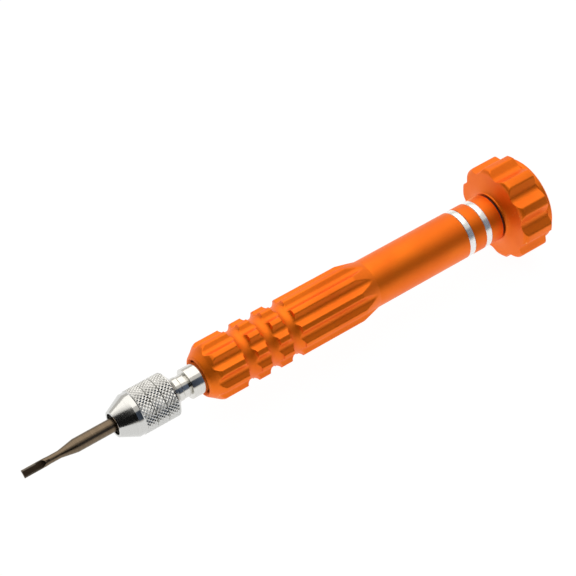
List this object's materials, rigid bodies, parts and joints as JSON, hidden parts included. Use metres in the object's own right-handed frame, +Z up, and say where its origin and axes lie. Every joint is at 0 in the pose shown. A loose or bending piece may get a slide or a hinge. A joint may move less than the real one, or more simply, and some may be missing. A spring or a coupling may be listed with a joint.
{
  "type": "watchmaker screwdriver",
  "caption": "Slim precision screwdriver with a fluted handle that stores bits, a collet chuck with a knurled nut, a flat-blade bit and a fluted cap that swivels on a bearing.",
  "frame": {"origin": "centre of the blade's edge, on the tool's axis", "axes": "+X along the tool's axis from the blade to the swivel cap, +Z up with the tool lying level"},
  "size_m": [0.1221, 0.021, 0.0208],
  "materials": {
    "orange_anodised": "satin orange anodised",
    "polished_aluminium": "polished, with a diamond knurl",
    "bright_ring": "bright diamond-cut",
    "turned_steel": "fine turned",
    "bit_steel": "bronze-brown tempered tool steel",
    "collet_steel": "blackened spring steel",
    "magnet_nickel": "nickel plated",
    "seal_rubber": "matt black",
    "seal_nylon": "matt black",
    "bearing_steel": "ground and polished",
    "cage_brass": "pressed",
    "clip_steel": "black phosphated",
    "screw_steel": "zinc plated"
  },
  "bodies": {
    "handle": {"handle": "orange_anodised", "chuck_spindle": "turned_steel", "bit_magnet": "magnet_nickel", "bit_phillips_0": "bit_steel", "bit_phillips_00": "bit_steel", "bit_torx_5": "bit_steel", "bit_torx_6": "bit_steel"},
    "collet": {"collet": "collet_steel"},
    "nut": {"chuck_nut": "polished_aluminium"},
    "bit": {"slotted_bit": "bit_steel"},
    "plug_ring": {"trim_ring_front": "bright_ring"},
    "plug": {"storage_plug": "orange_anodised", "plug_oring": "seal_rubber", "spacer_sleeve": "orange_anodised", "trim_ring_rear": "bright_ring", "bit_cushion": "seal_rubber", "dust_seal": "seal_nylon", "bearing_inner": "bearing_steel", "pivot_washer": "screw_steel", "pivot_screw": "screw_steel"},
    "cage": {"bearing_cage": "cage_brass", "bearing_balls": "bearing_steel"},
    "cap": {"swivel_cap": "orange_anodised", "cap_cover": "orange_anodised", "bearing_outer": "bearing_steel", "bearing_shields": "bearing_steel", "bearing_clip": "clip_steel"}
  },
  "joints": [
    {"name": "collet_travel", "type": "slide", "parent": "handle", "child": "collet", "axis": [-1, 0, 0], "range_m": [0, 0.001]},
    {"name": "nut_turn", "type": "hinge", "parent": "collet", "child": "nut", "pos_m": [0.0265, 0, 0], "axis": [-1, 0, 0], "range_deg": [0, 720]},
    {"name": "bit_slide", "type": "slide", "parent": "collet", "child": "bit", "axis": [-1, 0, 0], "range_m": [0, 0.014]},
    {"name": "plug_travel", "type": "slide", "parent": "handle", "child": "plug_ring", "axis": [1, 0, 0], "range_m": [0, 0.00675]},
    {"name": "plug_turn", "type": "hinge", "parent": "plug_ring", "child": "plug", "pos_m": [0.1062, 0, 0], "axis": [1, 0, 0], "range_deg": [0, 3240]},
    {"name": "cap_spin", "type": "hinge", "parent": "plug", "child": "cap", "pos_m": [0.1166, 0, 0], "axis": [1, 0, 0], "continuous": true},
    {"name": "cage_spin", "type": "hinge", "parent": "plug", "child": "cage", "pos_m": [0.1166, 0, 0], "axis": [1, 0, 0], "continuous": true}
  ],
  "couplings": [
    {"joint": "nut_turn", "follows": "collet_travel", "rad_per_m": 12566},
    {"joint": "plug_turn", "follows": "plug_travel", "rad_per_m": 8377.5},
    {"joint": "cage_spin", "follows": "cap_spin", "ratio": 0.6077}
  ]
}
